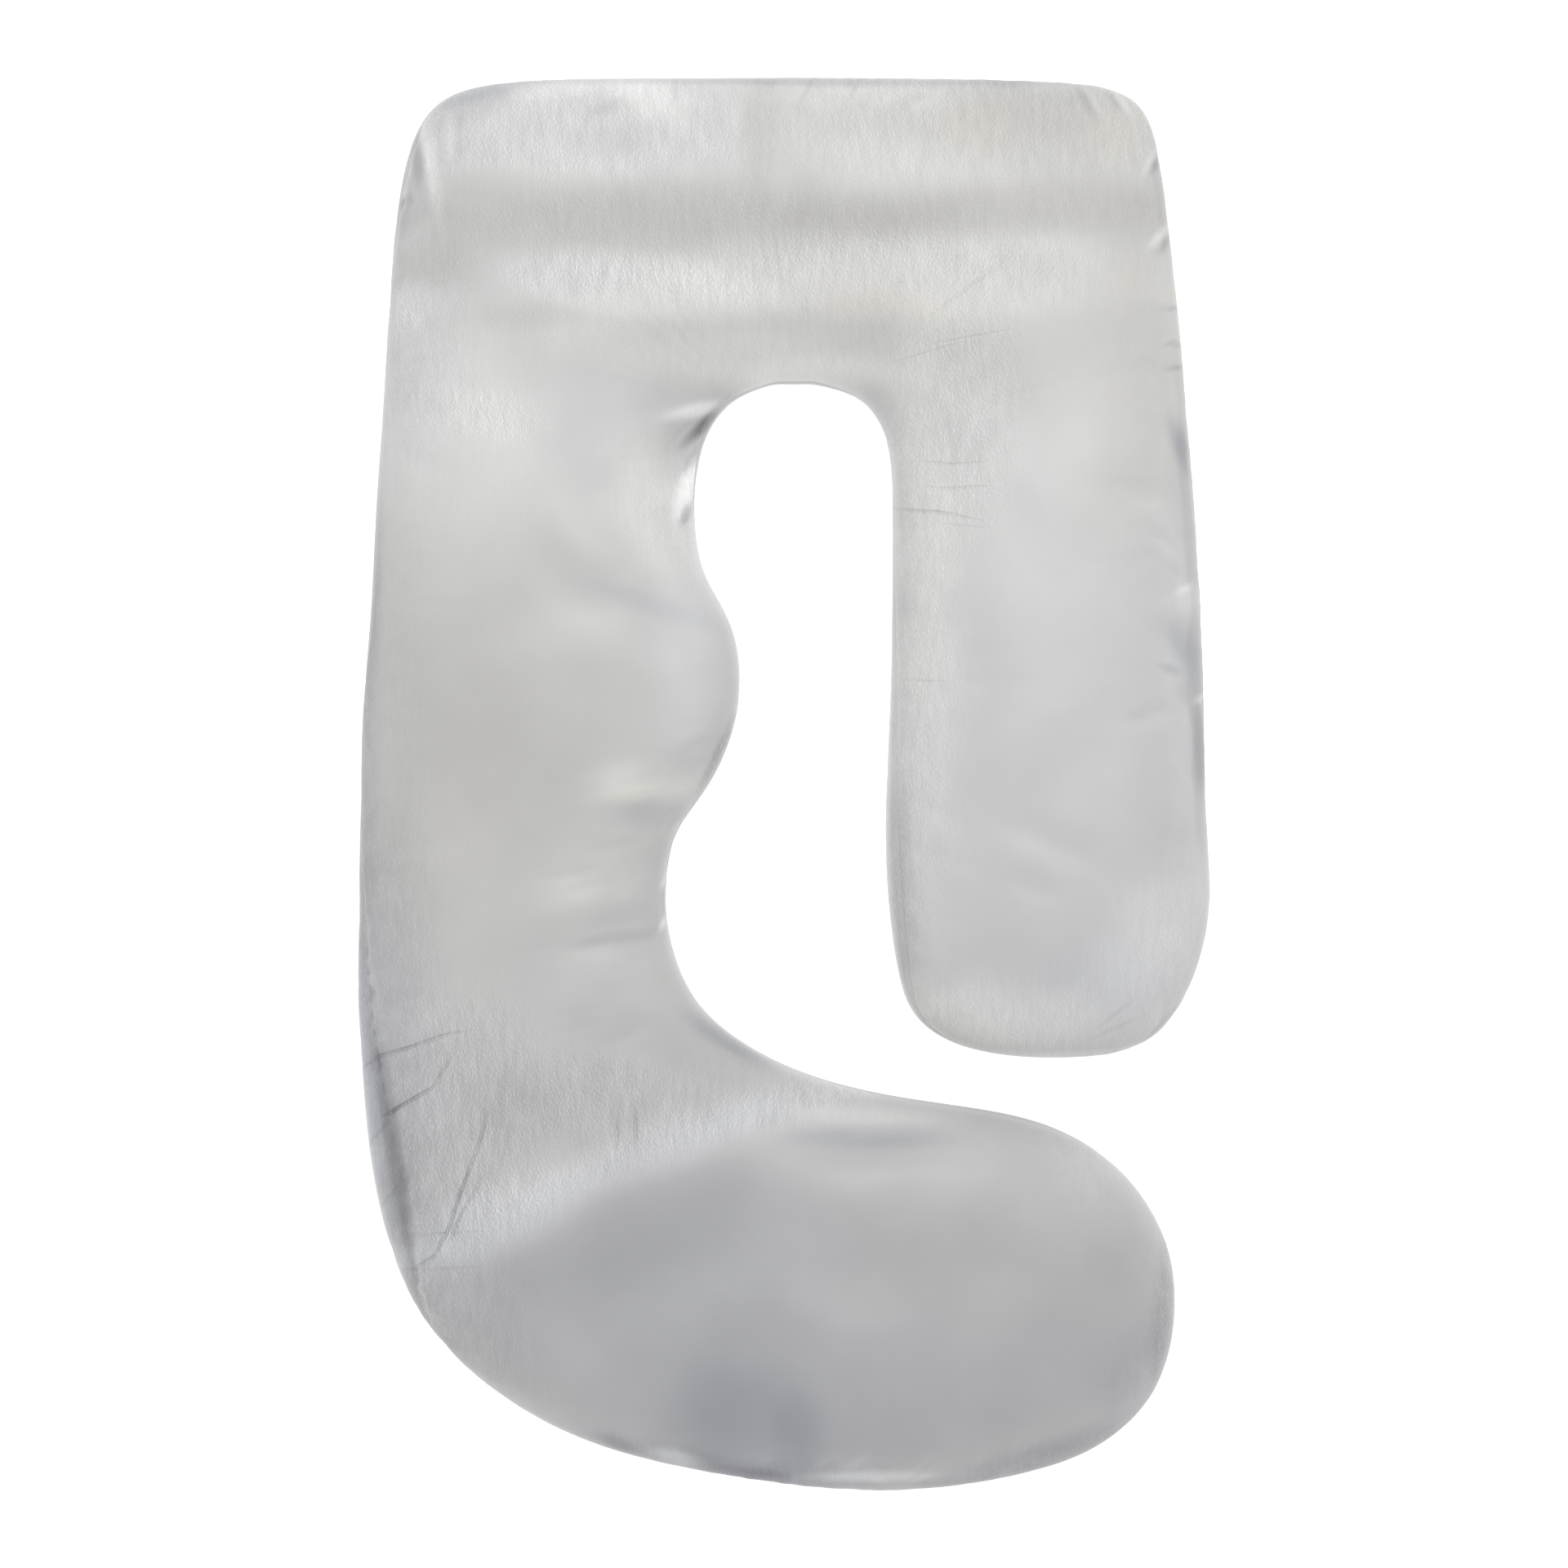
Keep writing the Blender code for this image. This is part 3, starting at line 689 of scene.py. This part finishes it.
def buildPillow(sizes):
    # The cover: the filled shape, moved out along its normals by the folds, lumps and wrinkles and in
    # by the seam's valley, and fitted to the outline's length and width.
    grid, filling, height, onFace, turned, tips = pillowForm(
        sizes, sizes["rings"], sizes["faceSteps"], sizes["backSteps"]
    )
    normals = gridNormals(grid)
    away, along, outer = seamPlace(grid, sizes["faceSteps"])
    x, y, facing = grid[..., 0], grid[..., 1], normals[..., 2]
    lift = np.where(onFace, relief(folds, x, y) * np.clip(height / sizes["foldEdge"], 0, 1), 0)
    lift += softLumps(sizes, x, y) * height
    wrinkles = seamPuckers(sizes, away, along, outer, onFace)
    wrinkles += settledLift(sizes, coverCloth)
    level = np.clip(np.abs(facing) / sizes["keenEdge"], 0, 1)
    left = sizes["steepShare"] + (1 - sizes["steepShare"]) * level**2
    lift += wrinkles * gathered(sizes, x, y) * left
    widened = 1 + np.where(outer, turned, 0) / sizes["seamTurned"]
    valley = np.exp(-((away / (sizes["seamWidth"] * widened)) ** 2))
    deepened = sizes["seamHidden"] + (1 - sizes["seamHidden"]) * np.clip(widened - 1, 0, 1)
    lift -= sizes["seamDepth"] * valley * deepened
    lift *= np.minimum(filling / sizes["tipFilling"], 1)
    grid = grid + normals * lift[..., None]
    grid[..., 2] = np.maximum(grid[..., 2], 0)
    ends = np.concatenate([tips, np.full((2, 1), sizes["edge"])], axis=1)
    low, high = grid.min(axis=(0, 1)), grid.max(axis=(0, 1))
    shift = np.array([(low[0] + high[0]) / 2, (low[1] + high[1]) / 2, 0])
    fit = np.array([sizes["width"] / (high[0] - low[0]), sizes["length"] / (high[1] - low[1]), 1])
    mesh = gridMesh("pillowCover", (grid - shift) * fit, (ends - shift) * fit)
    napAndPaintedLight = napAndPaintedLightField(sizes, grid[..., 0], grid[..., 1], away, outer, facing)
    # Painted shade in the outer seam's valley, where the seam is turned up on to the face.
    shown = np.clip((turned - sizes["seamShown"]) / sizes["seamShownOver"], 0, 1)
    napAndPaintedLight["napToneAndPaintedLight"] += sizes["seamShade"] * np.where(outer, shown, 0) * valley
    for name, values in napAndPaintedLight.items():
        attribute = mesh.attributes.new(name, "FLOAT", "POINT")
        attribute.data.foreach_set("value", np.append(values.reshape(-1), [0, 0]).astype(np.float32))
    return addObject("pillowCover", mesh)


def linearColour(hexCode):
    # sRGB hex to linear: a twelfth or so near black, and a 2.4 power above it.
    values = [int(hexCode[i : i + 2], 16) / 255 for i in (0, 2, 4)]
    return [v / 12.92 if v <= 0.04045 else ((v + 0.055) / 1.055) ** 2.4 for v in values] + [1.0]


def addNode(tree, kind, inputs=None, output=0, **settings):
    # One node with its settings. Each input is set to a value, or linked where it is a socket. Gives
    # back the output asked for.
    node = tree.nodes.new("ShaderNode" + kind)
    for key, value in settings.items():
        setattr(node, key, value)
    for key, value in (inputs or {}).items():
        if isinstance(value, bpy.types.NodeSocket):
            tree.links.new(value, node.inputs[key])
        else:
            node.inputs[key].default_value = value
    return node.outputs[output]


velvet = {
    "lightest": "d8d7d7",
    "darkest": "afaeaf",
    "warmCast": "fffffa",
    "coolCast": "fafcff",
    "roughness": 0.42,
    "sheen": 0.1,
    "sheenRoughness": 0.35,
    "sheenTint": "eef0f4",
    "strokeWidth": 1.3,  # millimetres across one stroke of the pile, coarser than real, so that it shows
    "strokeLength": 3.4,
    "strokeLean": -2.0,  # degrees from the pillow's length
    "strokeDepth": 0.6,  # millimetres
    "strokePaintedLight": 1.4,  # painted highlight: how much lighter a stroke's lit side is made in the colour
    "strokePaintedShadow": 0.3,  # and the painted shade of its other side, as a share of that
    "streakWidth": 5.0,  # millimetres across one mark of the brush
    "streakLength": 26.0,
    "streakShade": 0.6,
    "tuftSize": 0.9,  # millimetres, far coarser than real pile, so that it shows
    "tuftDepth": 0.05,
    "cloudSize": 90.0,  # millimetres across the soft patches of lighter and darker pile
    "cloudShade": 0.4,
    "toneShade": 0.5,  # how far tone 1 is from tone 0, between the darkest and the lightest
    "base": 0.3,  # how light tone 0 is, with no cloud
    "creasePaintedShade": 0.2,  # painted shade: how much darker the colour is made along a crease
    "creaseLow": 110.0,  # height of the middle of a crease's soft spot, and its reach up and down
    "creaseReach": 120.0,
    "shine": 0.6,
}


def velvetMaterial(look):
    # Short-pile polyester velvet, knitted, sheared and brushed. It looks matt and even from far
    # off, with a faint pale bloom where it turns away, and close up it shows short strokes, nearly
    # along the pillow, where the pile has been brushed.
    material = bpy.data.materials.new("short-pile polyester velvet")
    material.use_nodes = True
    tree = material.node_tree
    shader = tree.nodes["Principled BSDF"]
    place = addNode(tree, "TexCoord", output="Object")
    # The pile's tone, with the light and shade painted into it, read from the mesh.
    tone = addNode(tree, "Attribute", output="Fac", attribute_name="napToneAndPaintedLight")
    strokes = addNode(tree, "Attribute", output="Fac", attribute_name="napStrokes")
    cool = addNode(tree, "Attribute", output="Fac", attribute_name="napCool")

    # Each noise of the pile: the size of its marks, how far they lean, its shift and its detail.
    # The strokes' noise less the same one beside it is painted light on one side of a stroke and painted
    # shade on the other.
    stroke = (look["strokeWidth"], look["strokeLength"], look["strokeLength"])
    streak = (look["streakWidth"], look["streakLength"], look["streakLength"])
    lean = math.radians(look["strokeLean"])
    noises = {
        "stroke": (stroke, lean, 0, 1.0),
        "beside": (stroke, lean, 1, 1.0),
        "streak": (streak, lean, 0, 1.0),
        "tuft": ((look["tuftSize"],) * 3, 0, 0, 2.0),
        "cloud": ((look["cloudSize"],) * 3, 0, 0, 3.0),
    }
    for name, (marks, turn, shift, detail) in noises.items():
        turned = addNode(tree, "Mapping", {"Vector": place, "Rotation": (0, 0, turn)})
        sizes = {"Location": (shift, 0, 0), "Scale": [1 / (size * mm) for size in marks]}
        scaled = addNode(tree, "Mapping", {"Vector": turned, **sizes})
        grains = {"Vector": scaled, "Scale": 1.0, "Detail": detail, "Roughness": 0.5}
        noises[name] = addNode(tree, "TexNoise", grains, output="Fac")
    # Painted highlight on each stroke's lit side and painted shade on its other side, in the colour.
    slope = addNode(tree, "Math", {0: noises["stroke"], 1: noises["beside"]}, operation="SUBTRACT")
    lit = addNode(tree, "Math", {0: slope, 1: strokes}, operation="MULTIPLY")
    shaded = addNode(tree, "Math", {0: lit, 1: look["strokePaintedShadow"]}, operation="MULTIPLY")
    paintedGlints = addNode(tree, "Math", {0: lit, 1: shaded}, operation="MAXIMUM")
    mark = addNode(tree, "Math", {0: noises["streak"], 1: 0.5}, operation="SUBTRACT")
    brushed = addNode(tree, "Math", {0: mark, 1: strokes}, operation="MULTIPLY")
    combed = addNode(tree, "Math", {0: noises["stroke"], 1: strokes}, operation="MULTIPLY")

    # The creases together: each piece is a long soft spot, its middle as deep as its row says.
    fine = 0.0
    for fromX, fromY, toX, toY, across, depth in creases:
        reach = math.hypot(toX - fromX, toY - fromY)
        spot = {
            "Vector": place,
            "Location": ((fromX + toX) / 2 * mm, (fromY + toY) / 2 * mm, look["creaseLow"] * mm),
            "Rotation": (0, 0, math.atan2(toY - fromY, toX - fromX)),
            "Scale": (reach * mm, across * mm / 2, look["creaseReach"] * mm),
        }
        around = addNode(tree, "Mapping", spot, vector_type="TEXTURE")
        line = addNode(tree, "TexGradient", {"Vector": around}, output="Fac", gradient_type="SPHERICAL")
        fine = addNode(tree, "Math", {0: line, 1: depth, 2: fine}, operation="MULTIPLY_ADD")

    # How light the pile is, from the darkest at 0 to the lightest at 1, and how high it stands. Its
    # lightness also carries painted light and shade: the strokes' painted highlights and shade, the
    # creases' painted shade and the light and shade painted in the tone.
    light, height = look["base"], 0.0
    for layer, shade in (
        (noises["cloud"], look["cloudShade"]),
        (tone, look["toneShade"]),
        (paintedGlints, look["strokePaintedLight"]),
        (brushed, look["streakShade"]),
        (fine, -look["creasePaintedShade"]),
    ):
        light = addNode(tree, "Math", {0: layer, 1: shade, 2: light}, operation="MULTIPLY_ADD")
    for layer, depth in ((combed, look["strokeDepth"]), (noises["tuft"], look["tuftDepth"]), (fine, -1.0)):
        height = addNode(tree, "Math", {0: layer, 1: depth * mm, 2: height}, operation="MULTIPLY_ADD")
    toCool = addNode(tree, "Math", {0: cool, 1: 0.5, 2: 0.5}, operation="MULTIPLY_ADD")
    blend = {"output": "Result", "data_type": "RGBA", "clamp_factor": False}
    shades = {"A": linearColour(look["darkest"]), "B": linearColour(look["lightest"])}
    casts = {"A": linearColour(look["warmCast"]), "B": linearColour(look["coolCast"])}
    colour = addNode(tree, "Mix", {"Factor": light, **shades}, **blend)
    cast = addNode(tree, "Mix", {"Factor": toCool, **casts}, **blend)
    pile = addNode(tree, "Mix", {"Factor": 1.0, "A": colour, "B": cast}, **blend, blend_type="MULTIPLY")
    bump = addNode(tree, "Bump", {"Height": height, "Distance": 1.0, "Strength": 1.0})
    tree.links.new(pile, shader.inputs["Base Color"])
    tree.links.new(bump, shader.inputs["Normal"])
    shader.inputs["Roughness"].default_value = look["roughness"]
    shader.inputs["Sheen Weight"].default_value = look["sheen"]
    shader.inputs["Sheen Roughness"].default_value = look["sheenRoughness"]
    shader.inputs["Sheen Tint"].default_value = linearColour(look["sheenTint"])
    shader.inputs["Specular IOR Level"].default_value = look["shine"]
    return material


pillowCover = buildPillow(pillowSizes)
pillowCover.data.materials.append(velvetMaterial(velvet))
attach(pillowCover, "root")
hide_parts("pillow")
print("pillow made:", len(pillowCover.data.polygons), "faces")

studio = {
    "floorColour": "fafafa",
    "floorGlow": 0.5,
    "world": 0.72,
    "cameraHeight": 6.0,
    "seamHeight": 0.08,
    "sensor": 36.0,  # millimetres
    "frameWidth": 1.442,  # metres across the picture at the height of the seam
    # Each softbox: its place, what it points at, its width and length, and its power in watts.
    "softboxes": {
        "overhead": ((0.1, 0.95, 2.4), (0.0, 0.1, 0.0), (1.1, 0.9), 17.0),
        "headSide": ((-0.3, 2.5, 1.5), (0.0, 0.1, 0.0), (1.6, 0.7), 3.0),
    },
}


def buildStudio(look):
    # The floor, an even white sky, one rectangular softbox for each row, and a camera straight above.
    # Its lens is the sensor's width times the distance to the seam over the width of the picture.
    floorMesh = bpy.data.meshes.new("floor")
    corners = [(-6, -6, 0), (6, -6, 0), (6, 6, 0), (-6, 6, 0)]
    floorMesh.from_pydata(corners, [], [(0, 1, 2, 3)])
    floor = addObject("floor", floorMesh)
    # Matt white paper, bright enough by itself to look plain white.
    paper = bpy.data.materials.new("white studio paper")
    paper.use_nodes = True
    shader = paper.node_tree.nodes["Principled BSDF"]
    shader.inputs["Base Color"].default_value = linearColour(look["floorColour"])
    shader.inputs["Roughness"].default_value = 0.9
    shader.inputs["Specular IOR Level"].default_value = 0.1
    shader.inputs["Emission Color"].default_value = (1.0, 1.0, 1.0, 1.0)
    shader.inputs["Emission Strength"].default_value = look["floorGlow"]
    floor.data.materials.append(paper)
    world = bpy.data.worlds.new("studio")
    world.use_nodes = True
    world.node_tree.nodes["Background"].inputs["Color"].default_value = (1.0, 1.0, 1.0, 1.0)
    world.node_tree.nodes["Background"].inputs["Strength"].default_value = look["world"]
    bpy.context.scene.world = world
    for name, (place, target, size, power) in look["softboxes"].items():
        lamp = bpy.data.lights.new(name, "AREA")
        lamp.shape = "RECTANGLE"
        lamp.size, lamp.size_y = size
        lamp.energy = power
        softbox = addObject(name, lamp)
        softbox.location = place
        softbox.rotation_euler = (Vector(target) - Vector(place)).to_track_quat("-Z", "Y").to_euler()
    lens = bpy.data.cameras.new("camera")
    lens.sensor_width = look["sensor"]
    lens.lens = look["sensor"] * (look["cameraHeight"] - look["seamHeight"]) / look["frameWidth"]
    camera = addObject("camera", lens)
    camera.location = (0, 0, look["cameraHeight"])
    bpy.context.scene.camera = camera
    bpy.context.scene.view_settings.view_transform = "Standard"


buildStudio(studio)
print("studio made")
